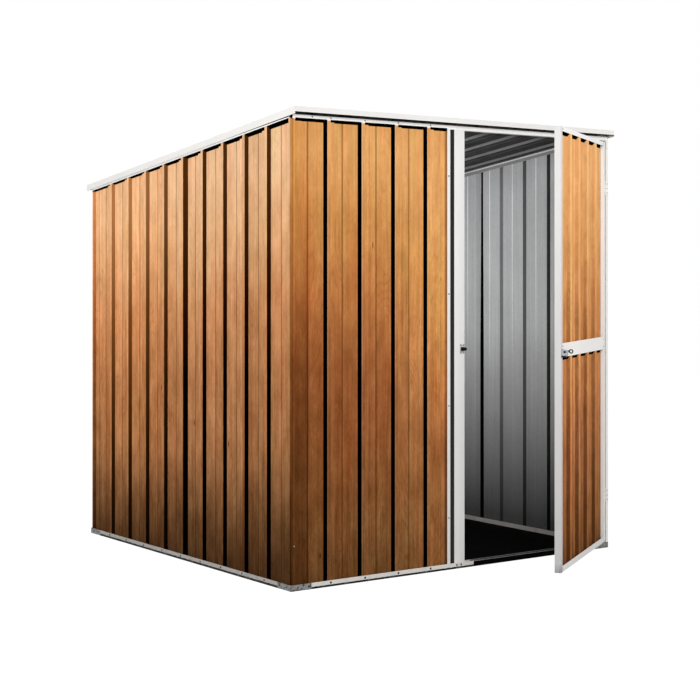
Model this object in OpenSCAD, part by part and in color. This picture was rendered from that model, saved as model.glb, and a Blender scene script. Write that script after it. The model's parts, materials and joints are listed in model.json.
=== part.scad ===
// Metal garden shed: ribbed steel walls standing in folded rails, a single-slope
// roof and one side-hung door with a sliding bolt.
// Millimetres. X runs along the front to the right, Y to the back, Z up.
// The origin is the centre of the footprint, on the ground.

/* [Overall] */
// Width over the base rails
shed_w = 1756; // [1450:1:2150]
// Depth over the base rails
shed_d = 1766; // [1450:1:2150]
// Height of the roof's front edge
roof_front_h = 1922; // [1600:1:2320]
// How much lower the roof's back edge is
roof_fall = 224; // [150:1:280]
// How far the roof stands past the front and back walls
overhang = 35; // [28:1:60]

/* [Ribbed sheets] */
// Thickness of every ribbed sheet
sheet_t = 1.2; // [0.8:0.1:1.5]
// Distance from one rib to the next
rib_pitch = 171.3; // [140:0.1:210]
// Depth of a wall rib
rib_depth = 14; // [11:0.5:17]
// Width of a rib's flat crest
crest_w = 36; // [26:1:46]
// Sideways run of a rib's flank
rib_run = 9; // [6:0.5:12]
// Depth of a roof rib
roof_rib_depth = 10; // [8:0.5:12]
// Width of the fine crease in the middle of a pan
crease_w = 7; // [5:0.5:10]
// Depth of that crease
crease_h = 1.5; // [1:0.1:2]
// From a rib's middle to the crease in the pan after it
crease_at = 67; // [56:1:80]
// Extra run of the flank where two sheets lap
lap_extra = 12; // [8:1:16]

/* [Rails and trims] */
// Thickness of every folded rail, trim and post
fold_t = 1.2; // [1:0.1:1.5]
// Width of the rails that the sheets stand in
rail_w = 27; // [26:0.5:33]
// Height of the base rails' outer flange
base_rail_h = 25; // [20:1:32]
// Height of the side and back base rails' inner flange
base_rail_in_h = 31; // [25:1:38]
// Height of the front and back top rails
top_rail_h = 17; // [14:1:21]
// Drop from the roof's top to the front and back top rails
top_rail_drop = 24; // [19:1:30]
// How far the side rails show below the verges
side_rail_show = 7; // [5:1:10]
// Length of each leg of a base corner
corner_leg = 98; // [80:1:120]
// Slit left where a base corner's two flanges meet
corner_slit = 2; // [1:0.5:3]
// Leg of the bent sheets that close the wall corners
trim_leg = 62; // [50:1:76]
// Bevel of those sheets' raised corner
corner_bevel = 12; // [10:1:15]
// Height of the front and back fascias
fascia_h = 24; // [19:1:30]
// Height of the side verges
verge_h = 29; // [24:1:35]
// How far the verges stand past the side rails
verge_out = 4; // [3:0.5:6]
// Width of the flange that a verge or fascia lays over the roof
roof_flange = 26; // [20:1:34]
// Thickness of the floor panel
floor_t = 10; // [8:1:14]

/* [Doorway] */
// Distance from the left side to the jamb strip
jamb_x = 798; // [660:1:960]
// Face width of the jamb strip
jamb_w = 20; // [16:1:26]
// Recess between the jamb strip and the latch post
post_gap = 19; // [14:1:24]
// Face width of the latch post
post_w = 57; // [46:1:70]
// Face width of the hinge post
hinge_post_w = 14; // [13:1:18]
// Running gap round the door
door_gap = 5; // [5:0.5:7]
// Length of base rail left beside the latch post
sill_step = 50; // [40:1:60]

/* [Door] */
// Depth of the door frame
door_t = 27; // [24:0.5:33]
// Face width of the door stiles
stile_w = 26; // [21:1:32]
// Face height of the door's top rail
door_top_h = 18; // [15:1:24]
// Face height of the door's middle rail
door_mid_h = 58; // [48:1:70]
// Face height of the door's bottom rail
door_bottom_h = 25; // [20:1:32]
// Pans in the width of a door panel
door_pans = 5; // [4:1:6]
// How far the door stands open, in degrees
door_rest = 32.7; // [20:0.1:45]

/* [Hinges and latch] */
// Height of each hinge
hinge_h = 60; // [50:1:72]
// Width of a hinge leaf
leaf_w = 12; // [10:1:14]
// Radius of the hinge knuckles
knuckle_r = 3.5; // [3.2:0.1:4.2]
// Radius of the hinge pins
pin_r = 2; // [1.6:0.1:2.4]
// Running clearance of a pin or bolt in its bore
running = 0.08; // [0.06:0.01:0.1]
// From the door's ends to the middle of a hinge
hinge_in = 212; // [170:1:260]
// Radius of the latch bolt
bolt_r = 5; // [4:0.5:6]
// How far the latch bolt slides
bolt_travel = 26; // [22:1:32]
// From the door's face to the bolt's axis
bolt_proud = 14; // [12:0.5:17]
// Length of the latch housing
latch_len = 28; // [23:1:34]
// How far the latch housing hangs below its bolt
latch_drop = 14; // [11:1:17]
// Radius of the pull ring, at the middle of its wire
ring_r = 7; // [6:0.5:9]
// Radius of the pull ring's wire
ring_wire = 2.4; // [2:0.1:3]

/* [Hidden] */

WOOD = "peru";
WHITE = "whitesmoke";
ZINC = "silver";
DARK = "dimgray";
BLACK = "black";

$fn = 64;
seat = 0.3;                 // gap between pieces that rest on each other
skin = fold_t + seat;       // from a rail's outer face to what stands in the rail
left_x = -shed_w / 2;
right_x = shed_w / 2;
front_y = -shed_d / 2;
back_y = shed_d / 2;

// Roof
eave_y = front_y - overhang;
roof_end_y = back_y + overhang;
roof_slope = roof_fall / (roof_end_y - eave_y);
roof_angle = atan(roof_slope);
roof_len = (roof_end_y - eave_y) / cos(roof_angle);
roof_inset = 4;             // roof sheets stop short of the fascias
function roof_z(y) = roof_front_h - (y - eave_y) * roof_slope;

// Rails under the roof
front_rail_top = roof_z(front_y) - top_rail_drop;
back_rail_top = roof_z(back_y) - top_rail_drop;
side_drop = (skin + roof_rib_depth + sheet_t) / cos(roof_angle) + seat;
side_rail_h = verge_h + side_rail_show - side_drop;
rail_end = 8;               // front and back top rails stop short of the corner
side_rail_end = 14;
sheet_end = 20;             // wall sheets start behind the corner sheets
side_end = rail_w + seat;
pan = skin + rib_depth;     // from a rail's outer face to a pan's outer face
corner_in = pan - seat - sheet_t;
wall_z0 = skin;
front_top = front_rail_top - skin;
back_top = back_rail_top - skin;

// Doorway and door
post_d = rail_w - 2 * skin;
post_x = left_x + jamb_x + jamb_w + post_gap;
sill_x = post_x + post_w + sill_step;
face_y = front_y + skin;    // front face of posts and door
hinge_x = right_x - skin - hinge_post_w - door_gap / 2;
hinge_y = face_y - knuckle_r;
door_x0 = post_x + post_w + door_gap;
door_x1 = hinge_x - door_gap / 2;
door_z0 = base_rail_h + door_gap;
door_z1 = front_rail_top - top_rail_h - door_gap - 4;
mid_z = (door_z0 + door_z1) / 2 - 4;
mid_z0 = mid_z - door_mid_h / 2;
mid_z1 = mid_z + door_mid_h / 2;
panel_in = 12;              // how far a panel reaches into the door frame
hinge_zs = [door_z0 + hinge_in, door_z1 - hinge_in];
knuckle_mid = 22;           // height of the door's knuckle
knuckle_gap = 0.5;

// Latch
latch_z = mid_z - 6;
bolt_y = face_y - bolt_proud;
plate_t = 1.5;
barrel_r = bolt_r + 3;
latch_x = door_x0 + 6;
bolt_tip = door_x0 + 3;
ring_x = latch_x + latch_len + bolt_travel + ring_wire + 6;
keeper_w = 18;
keeper_x = post_x + post_w - keeper_w - 4;
keeper_plate_h = 44;

// Folded sheet in plan: a line of bends, thickened by t to its left
function left_of(a, b) = [a.y - b.y, b.x - a.x] / norm(b - a);
function bend(line, i, t) =
    let (n = left_of(line[max(i - 1, 0)], line[max(i, 1)]),
         m = i == len(line) - 1 ? n : left_of(line[i], line[i + 1]))
    line[i] + t * (n + m) / (1 + n * m);
module folded(line, t) polygon(concat(line,
    [for (i = [len(line) - 1 : -1 : 0]) bend(line, i, t)]));

// Bends of one rib and one crease, from a sheet's outer face inward
function rib(c, depth) = [[c - crest_w / 2 - rib_run, depth], [c - crest_w / 2, 0],
                          [c + crest_w / 2, 0], [c + crest_w / 2 + rib_run, depth]];
function crease(c, depth) =
    [[c - crease_w / 2, depth], [c, depth + crease_h], [c + crease_w / 2, depth]];

// Ribs, each with a crease after it, between a and b; shift moves the whole row
crease_room = 16;
function bends(a, b, room, depth, shift = 0) = [for (i = [-20 : 20])
    let (c = i * rib_pitch + shift, k = c + crease_at)
    each concat(c > a + room && c < b - room ? rib(c, depth) : [],
                k > a + crease_room && k < b - crease_room ? crease(k, depth) : [])];

// Where two sheets lap: the upper one ends part way down the far flank
lap_share = 0.7;
function over_end(c, depth) = [[c - crest_w / 2 - rib_run - lap_extra, depth], [c - crest_w / 2, 0],
    [c + crest_w / 2, 0], [c + crest_w / 2 + lap_share * rib_run, lap_share * depth]];
function under_start(c, depth) =
    let (off = sheet_t + seat, s = norm([depth, rib_run]))
    [[c - crest_w / 4, off], [c + crest_w / 2 - off * (s - rib_run) / depth, off],
     [c + crest_w / 2 + rib_run - off * s / depth, depth]];
module plain_plan(a, b, line, depth) folded(concat([[a, depth]], line, [[b, depth]]), sheet_t);
module over_plan(a, c, line, depth) folded(concat([[a, depth]], line, over_end(c, depth)), sheet_t);
module under_plan(c, b, line, depth) folded(concat(under_start(c, depth), line, [[b, depth]]), sheet_t);

// Each side is drawn along X, with Y going inward from its outer face
module on_front() translate([0, front_y, 0]) children();
module on_back() mirror([0, 1, 0]) translate([0, front_y, 0]) children();
module on_left() mirror([1, 0, 0]) rotate([0, 0, 90]) translate([0, left_x, 0]) children();
module on_right() rotate([0, 0, 90]) translate([0, left_x, 0]) children();

// Bar along the slope, between two drops below the roof's top
module slope_bar(x0, x1, y0, y1, top, bottom) translate([x0, 0, 0]) rotate([90, 0, 90])
    linear_extrude(x1 - x0)
    polygon([[y0, roof_z(y0) - bottom], [y1, roof_z(y1) - bottom],
             [y1, roof_z(y1) - top], [y0, roof_z(y0) - top]]);
module below_side_rails() intersection() {
    children();
    slope_bar(-shed_w, shed_w, -shed_d, shed_d, side_drop + skin, roof_front_h + 500);
}

// Channel on the ground, open upwards
module channel(x0, x1, outer_h, inner_h) translate([x0, 0, 0]) rotate([90, 0, 90])
    linear_extrude(x1 - x0)
    polygon([[0, 0], [rail_w, 0], [rail_w, inner_h], [rail_w - fold_t, inner_h],
             [rail_w - fold_t, fold_t], [fold_t, fold_t], [fold_t, outer_h], [0, outer_h]]);

// ---- Base ----
module floor_panel() color(BLACK) translate([left_x + side_end, front_y + side_end, 0])
    cube([shed_w - 2 * side_end, shed_d - 2 * side_end, floor_t]);
rail_start = corner_leg + seat;
module base_rail_front() color(WHITE) on_front()
    channel(left_x + rail_start, sill_x, base_rail_h, base_rail_h);
module door_sill() color(DARK) on_front()
    channel(sill_x + seat, right_x - rail_start, base_rail_h, base_rail_h);
module base_rail_left() color(WHITE) on_left()
    channel(front_y + rail_start, back_y - rail_start, base_rail_h, base_rail_in_h);
module base_rail_right() color(WHITE) on_right()
    channel(front_y + rail_start, back_y - rail_start, base_rail_h, base_rail_in_h);
module base_rail_back() color(WHITE) on_back()
    channel(left_x + rail_start, right_x - rail_start, base_rail_h, base_rail_in_h);

// Folded corner: an L-shaped foot with a flange turned up from each edge
module base_corner() {
    linear_extrude(fold_t) difference() {
        square(corner_leg);
        translate([rail_w, rail_w]) square(corner_leg);
    }
    for (s = [0, 1]) mirror([s, -s, 0]) {
        translate([corner_slit, 0, 0]) cube([corner_leg - corner_slit, fold_t, base_rail_h]);
        translate([rail_w - fold_t, rail_w - fold_t, 0])
            cube([corner_leg - rail_w + fold_t, fold_t, base_rail_h]);
    }
}
module base_corners() color(ZINC) for (sx = [0, 1], sy = [0, 1])
    mirror([sx, 0, 0]) mirror([0, sy, 0]) translate([left_x, front_y, 0]) base_corner();

// ---- Walls ----
module standing(top) translate([0, skin, wall_z0]) linear_extrude(top - wall_z0) children();
rib_room = 110;
jamb_edge = left_x + jamb_x + jamb_w;
module front_sheet() color(WOOD) on_front() standing(front_top)
    plain_plan(left_x + sheet_end, jamb_edge - skin,
               bends(left_x, left_x + jamb_x, rib_room / 2, rib_depth), rib_depth);

// The two halves of a wall lap at its middle rib; the right side is laid the other way round
module near_half(start)
    over_plan(start, 0, bends(start, -1, rib_room, rib_depth), rib_depth);
module far_half(finish)
    under_plan(0, finish, bends(1, finish, rib_room, rib_depth), rib_depth);
module side_front_half() near_half(front_y + side_end);
module side_back_half() far_half(back_y - side_end);
module left_sheet_front() color(WOOD) below_side_rails() on_left() standing(roof_front_h)
    side_front_half();
module left_sheet_back() color(WOOD) below_side_rails() on_left() standing(roof_front_h)
    side_back_half();
module right_sheet_front() color(WOOD) below_side_rails() on_right() standing(roof_front_h)
    mirror([1, 0]) side_back_half();
module right_sheet_back() color(WOOD) below_side_rails() on_right() standing(roof_front_h)
    mirror([1, 0]) side_front_half();
module back_sheet_left() color(WOOD) on_back() standing(back_top) near_half(left_x + sheet_end);
module back_sheet_right() color(WOOD) on_back() standing(back_top) far_half(right_x - sheet_end);

// Bent sheet over a wall corner: its legs lie on the pans, its bevelled corner stands out
bevel_end = corner_bevel + 8;
bevel_foot = bevel_end + 6;
corner_bends = [[corner_in, trim_leg], [corner_in, bevel_foot], [skin, bevel_end],
                [skin, corner_bevel], [corner_bevel, skin], [bevel_end, skin],
                [bevel_foot, corner_in], [trim_leg, corner_in]];
module corner_sheet(top) translate([left_x, front_y, wall_z0]) linear_extrude(top - wall_z0)
    folded(corner_bends, sheet_t);
module corner_sheet_front_left() color(WOOD) corner_sheet(front_top);
module corner_sheet_back_left() color(WOOD) mirror([0, 1, 0]) corner_sheet(back_top);
module corner_sheet_back_right() color(WOOD) mirror([1, 0, 0]) mirror([0, 1, 0])
    corner_sheet(back_top);

// ---- Posts beside the doorway ----
module hollow(w, d) difference() {
    square([w, d]);
    translate([fold_t, fold_t]) square([w - 2 * fold_t, d - 2 * fold_t]);
}
module open_fold(w, d) difference() {
    square([w, d]);
    translate([fold_t, fold_t]) square([w, d - 2 * fold_t]);
}
module jamb_strip() color(WHITE) on_front() standing(front_top)
    translate([jamb_edge, 0]) mirror([1, 0]) open_fold(jamb_w, post_d);
module latch_post() color(WHITE) on_front() standing(front_top) {
    translate([post_x, 0]) hollow(post_w, post_d);
    translate([jamb_edge + seat, post_d - fold_t]) square([post_gap, fold_t]);
}
module hinge_post() color(WHITE) on_front() standing(front_top) {
    translate([right_x - skin - hinge_post_w, 0]) hollow(hinge_post_w, post_d);
    translate([right_x - corner_in - fold_t, post_d - fold_t]) square([fold_t, 18]);
}

// ---- Rails under the roof ----
module top_channel(top) {
    w = shed_w - 2 * rail_end;
    translate([left_x + rail_end, 0, top - top_rail_h]) cube([w, fold_t, top_rail_h]);
    translate([left_x + rail_end, 0, top - fold_t]) cube([w, rail_w, fold_t]);
    translate([left_x + side_end, rail_w - fold_t, top - top_rail_h])
        cube([shed_w - 2 * side_end, fold_t, top_rail_h]);
}
module top_rail_front() color(WHITE) on_front() top_channel(front_rail_top);
module top_rail_back() color(WHITE) on_back() top_channel(back_rail_top);
module side_rail() {
    y0 = front_y + side_rail_end;
    y1 = back_y - side_rail_end;
    foot = side_drop + side_rail_h;
    slope_bar(left_x, left_x + fold_t, y0, y1, side_drop, foot);
    slope_bar(left_x, left_x + rail_w, y0, y1, side_drop, side_drop + fold_t);
    slope_bar(left_x + rail_w - fold_t, left_x + rail_w, front_y + side_end, back_y - side_end,
              side_drop, foot);
}
module top_rail_left() color(WHITE) side_rail();
module top_rail_right() color(WHITE) mirror([1, 0, 0]) side_rail();

// ---- Roof ----
module down_slope() translate([0, eave_y, roof_front_h]) rotate([-roof_angle, 0, 0])
    translate([0, roof_inset, -skin]) rotate([-90, 0, 0]) linear_extrude(roof_len - 2 * roof_inset)
    children();
roof_edge = right_x + verge_out - skin;
roof_lap = rib_pitch / 2;
function roof_bends(a, b) = bends(a, b, rib_room / 2, roof_rib_depth, roof_lap);
module roof_sheet_left() color(ZINC) down_slope()
    over_plan(-roof_edge, roof_lap, roof_bends(-roof_edge, roof_lap - 1), roof_rib_depth);
module roof_sheet_right() color(ZINC) down_slope()
    under_plan(roof_lap, roof_edge, roof_bends(roof_lap + 1, roof_edge), roof_rib_depth);

// Fascia: upright face with a flange laid over the roof between the verges
module fascia(y, away) {
    x = right_x + verge_out;
    translate([-x, min(y, y + away * fold_t), roof_z(y) - fascia_h])
        cube([2 * x, fold_t, fascia_h]);
    slope_bar(-x + skin, x - skin, min(y, y + away * roof_flange), max(y, y + away * roof_flange),
              0, fold_t);
}
module fascia_front() color(WHITE) fascia(eave_y, 1);
module fascia_back() color(WHITE) fascia(roof_end_y, -1);
module verge() {
    x = left_x - verge_out;
    slope_bar(x, x + fold_t, eave_y + skin, roof_end_y - skin, 0, verge_h);
    slope_bar(x, x + roof_flange, eave_y + roof_flange + seat, roof_end_y - roof_flange - seat,
              0, fold_t);
}
module verge_left() color(WHITE) verge();
module verge_right() color(WHITE) mirror([1, 0, 0]) verge();

// ---- Door, drawn shut and then swung open about its hinges ----
module swung() translate([hinge_x, hinge_y, 0]) rotate([0, 0, door_rest])
    translate([-hinge_x, -hinge_y, 0]) children();
module stile() translate([0, face_y, door_z0]) linear_extrude(door_z1 - door_z0) {
    open_fold(stile_w, door_t);
    translate([stile_w - fold_t, 0]) square([fold_t, pan - seat]);
}
module door_free_stile() color(WHITE) swung() translate([door_x0, 0, 0]) stile();
module door_hinge_stile() color(WHITE) swung() translate([door_x1, 0, 0]) mirror([1, 0, 0]) stile();

// Door rail between the stiles; its web closes one edge or runs along its middle
rail_x0 = door_x0 + stile_w + seat;
rail_x1 = door_x1 - stile_w - seat;
module door_rail(z, h, web_z) translate([rail_x0, face_y, z]) {
    w = rail_x1 - rail_x0;
    cube([w, fold_t, h]);
    translate([0, door_t - fold_t, 0]) cube([w, fold_t, h]);
    translate([0, 0, web_z]) cube([w, door_t, fold_t]);
}
module door_top_rail() color(WHITE) swung()
    door_rail(door_z1 - door_top_h, door_top_h, door_top_h - fold_t);
module door_mid_rail() color(WHITE) swung() door_rail(mid_z0, door_mid_h, door_mid_h / 2);
module door_bottom_rail() color(WHITE) swung() door_rail(door_z0, door_bottom_h, 0);

panel_x0 = door_x0 + stile_w;
panel_x1 = door_x1 - stile_w;
door_pitch = (panel_x1 - panel_x0) / door_pans;
door_ribs = [for (i = [1 : door_pans - 1]) each rib(panel_x0 + i * door_pitch, rib_depth)];
module door_panel(z0, z1) translate([0, face_y + skin, z0 - panel_in])
    linear_extrude(z1 - z0 + 2 * panel_in)
    plain_plan(panel_x0 - panel_in, panel_x1 + panel_in, door_ribs, rib_depth);
module door_panel_upper() color(WOOD) swung() door_panel(mid_z1, door_z1 - door_top_h);
module door_panel_lower() color(WOOD) swung() door_panel(door_z0 + door_bottom_h, mid_z0);

// ---- Hinges: the post carries the outer knuckles and the pin ----
outer_h = (hinge_h - knuckle_mid) / 2 - knuckle_gap;
leaf_in = knuckle_r + 0.5;  // leaves start clear of the other leaf's knuckles
module leaf(z, side) translate([hinge_x, face_y - plate_t, z - hinge_h / 2])
    mirror([side, 0, 0]) translate([leaf_in, 0, 0]) cube([leaf_w, plate_t, hinge_h]);
module knuckle(z, h, side) {
    translate([hinge_x, hinge_y, z]) cylinder(r = knuckle_r, h = h);
    translate([hinge_x, face_y - plate_t, z]) mirror([side, 0, 0]) cube([leaf_in, plate_t, h]);
}
module post_hinges() color(WHITE) for (z = hinge_zs) {
    leaf(z, 0);
    knuckle(z - hinge_h / 2, outer_h, 0);
    knuckle(z + hinge_h / 2 - outer_h, outer_h, 0);
    translate([hinge_x, hinge_y, z - hinge_h / 2]) cylinder(r = pin_r, h = hinge_h);
}
module door_hinges() color(WHITE) swung() for (z = hinge_zs) {
    leaf(z, 1);
    difference() {
        knuckle(z - knuckle_mid / 2, knuckle_mid, 1);
        translate([hinge_x, hinge_y, z - knuckle_mid]) cylinder(r = pin_r + running, h = 2 * knuckle_mid);
    }
}

// ---- Latch ----
module along_x(x, r, len) translate([x, bolt_y, latch_z]) rotate([0, 90, 0]) cylinder(r = r, h = len);
module plate(x, w, z, h) translate([x, face_y - plate_t, z]) cube([w, plate_t, h]);
module barrel(x, len, bore, drop) difference() {
    union() {
        translate([x, bolt_y, latch_z - barrel_r - drop])
            cube([len, face_y - bolt_y, 2 * barrel_r + drop]);
        along_x(x, barrel_r, len);
        if (drop > 0) translate([0, 0, -drop]) {
            along_x(x, barrel_r, len);
            translate([x, bolt_y - barrel_r, latch_z]) cube([len, barrel_r, drop]);
        }
    }
    along_x(x - 1, bore, len + 2);
}
module latch_keeper() color(DARK) {
    barrel(keeper_x, keeper_w, bolt_r + 1, 0);
    plate(keeper_x - 4, keeper_w + 8, latch_z - keeper_plate_h / 2, keeper_plate_h);
}
module latch_housing() color(DARK) swung() {
    low = barrel_r + latch_drop;
    barrel(latch_x, latch_len, bolt_r + running, latch_drop);
    plate(latch_x - 3, latch_len + 6, latch_z - low, low + barrel_r + 4);
}
module latch_bolt() color(DARK) swung() {
    along_x(bolt_tip, bolt_r, ring_x + 8 - bolt_tip);
    translate([ring_x, bolt_y - bolt_r - ring_r, latch_z]) rotate([0, 90, 0])
        rotate_extrude() translate([ring_r, 0]) circle(r = ring_wire);
}

floor_panel();
base_rail_front();
base_rail_left();
base_rail_right();
base_rail_back();
door_sill();
base_corners();
front_sheet();
left_sheet_front();
left_sheet_back();
right_sheet_front();
right_sheet_back();
back_sheet_left();
back_sheet_right();
corner_sheet_front_left();
corner_sheet_back_left();
corner_sheet_back_right();
jamb_strip();
latch_post();
hinge_post();
top_rail_front();
top_rail_back();
top_rail_left();
top_rail_right();
roof_sheet_left();
roof_sheet_right();
fascia_front();
fascia_back();
verge_left();
verge_right();
latch_keeper();
post_hinges();
door_free_stile();
door_hinge_stile();
door_top_rail();
door_mid_rail();
door_bottom_rail();
door_panel_upper();
door_panel_lower();
door_hinges();
latch_housing();
latch_bolt();
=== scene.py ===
import json
import math

import bpy
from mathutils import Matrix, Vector


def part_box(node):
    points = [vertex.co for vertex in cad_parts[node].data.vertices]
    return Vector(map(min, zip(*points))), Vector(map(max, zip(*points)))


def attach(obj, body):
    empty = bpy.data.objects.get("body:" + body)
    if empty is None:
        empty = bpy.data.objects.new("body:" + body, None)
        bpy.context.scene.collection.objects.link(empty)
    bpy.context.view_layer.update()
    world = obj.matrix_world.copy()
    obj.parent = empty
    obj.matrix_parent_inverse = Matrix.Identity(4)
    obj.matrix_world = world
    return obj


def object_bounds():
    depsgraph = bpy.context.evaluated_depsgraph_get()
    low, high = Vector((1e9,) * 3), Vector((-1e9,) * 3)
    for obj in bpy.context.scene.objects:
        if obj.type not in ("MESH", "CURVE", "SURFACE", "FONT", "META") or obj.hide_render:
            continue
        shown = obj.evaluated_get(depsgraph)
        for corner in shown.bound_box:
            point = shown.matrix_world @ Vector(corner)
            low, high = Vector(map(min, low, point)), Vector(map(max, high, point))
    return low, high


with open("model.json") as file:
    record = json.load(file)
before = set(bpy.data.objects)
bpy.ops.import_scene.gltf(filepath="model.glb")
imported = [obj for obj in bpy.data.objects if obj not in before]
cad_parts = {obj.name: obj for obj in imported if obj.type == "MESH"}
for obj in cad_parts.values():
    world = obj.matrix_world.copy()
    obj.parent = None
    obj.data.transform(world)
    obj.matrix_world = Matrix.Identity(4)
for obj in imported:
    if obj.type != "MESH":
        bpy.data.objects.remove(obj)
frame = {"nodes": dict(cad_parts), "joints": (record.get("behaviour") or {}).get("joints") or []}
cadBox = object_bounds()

scene = bpy.context.scene
cadNodes = frame["nodes"]
hinge = next(j for j in frame["joints"] if j["name"] == "door_hinge")
openAngle = -hinge["range_deg"][0]      # how far the door stands open at rest
wallHalf = {"x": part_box("base_corners")[1].x, "y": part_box("base_corners")[1].y}
print("shed loaded:", len(cadNodes), "pieces")


viewpoint = {
    "place": (-4.2865, -6.0285, 1.245),
    "turn": -35.69,         # degrees about the upright, from looking along +Y
    "tilt": 0.141,
    "roll": 0.0,
    "lens": 80.10,
    "raise": -0.109,        # share of the frame that the view is shifted up or down
}
cameraData = bpy.data.cameras.new("camera")
cameraData.lens = viewpoint["lens"]
cameraData.sensor_width = 36
cameraData.shift_y = viewpoint["raise"]
cameraData.clip_end = 200
camera = bpy.data.objects.new("camera", cameraData)
camera.location = viewpoint["place"]
camera.rotation_euler = (math.radians(90 + viewpoint["tilt"]), math.radians(viewpoint["roll"]),
                         math.radians(viewpoint["turn"]))
scene.collection.objects.link(camera)
scene.camera = camera
scene.view_settings.view_transform = "Standard"


studio = {
    "ambient": 0.30,
    "left": {"place": (-6.4, -0.4, 3.9), "aim": (-0.8, 0, 0.9), "size": 3.4, "power": 215},
    "middle": {"place": (-4.3, -6.9, 2.9), "aim": (0, -0.6, 1.0), "size": 2.0, "power": 155},
    "right": {"place": (1.1, -6.8, 3.2), "aim": (0.3, -1.0, 1.0), "size": 2.2, "power": 180},
    "inside": {"place": (-0.55, -0.1, 1.25), "aim": (0.86, -0.1, 1.15), "size": 0.9, "power": 9},
}


def areaLight(name, light):
    data = bpy.data.lights.new(name, "AREA")
    data.shape = "SQUARE"
    data.size = light["size"]
    data.energy = light["power"]
    lamp = bpy.data.objects.new(name, data)
    lamp.location = light["place"]
    aim = Vector(light["aim"]) - Vector(light["place"])
    lamp.rotation_euler = aim.to_track_quat("-Z", "Y").to_euler()
    lamp.visible_camera = False
    scene.collection.objects.link(lamp)


for lightName in ("left", "middle", "right", "inside"):
    areaLight(lightName + "Light", studio[lightName])

world = bpy.data.worlds.new("studio")
scene.world = world
world.use_nodes = True
worldNodes, worldLinks = world.node_tree.nodes, world.node_tree.links
worldNodes.clear()
rays = worldNodes.new("ShaderNodeLightPath")
seen = worldNodes.new("ShaderNodeMath")
seen.operation = "MAXIMUM"
seenOrMirrored = worldNodes.new("ShaderNodeMath")
seenOrMirrored.operation = "MAXIMUM"
worldLinks.new(rays.outputs["Is Camera Ray"], seen.inputs[0])
worldLinks.new(rays.outputs["Is Transmission Ray"], seen.inputs[1])
worldLinks.new(seen.outputs[0], seenOrMirrored.inputs[0])
worldLinks.new(rays.outputs["Is Glossy Ray"], seenOrMirrored.inputs[1])
skyStrength = worldNodes.new("ShaderNodeMapRange")
skyStrength.inputs["To Min"].default_value = studio["ambient"]
skyStrength.inputs["To Max"].default_value = 1.0
worldLinks.new(seenOrMirrored.outputs[0], skyStrength.inputs["Value"])
sky = worldNodes.new("ShaderNodeBackground")
sky.inputs["Color"].default_value = (1, 1, 1, 1)
worldLinks.new(skyStrength.outputs[0], sky.inputs["Strength"])
worldLinks.new(sky.outputs[0], worldNodes.new("ShaderNodeOutputWorld").inputs[0])
print("camera and lights set")


def screenTone(red, green, blue):       # 0-255 screen tone to the shader's own scale
    def toLinear(part):
        part = part / 255
        return part / 12.92 if part <= 0.04045 else ((part + 0.055) / 1.055) ** 2.4
    return (toLinear(red), toLinear(green), toLinear(blue), 1)


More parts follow.
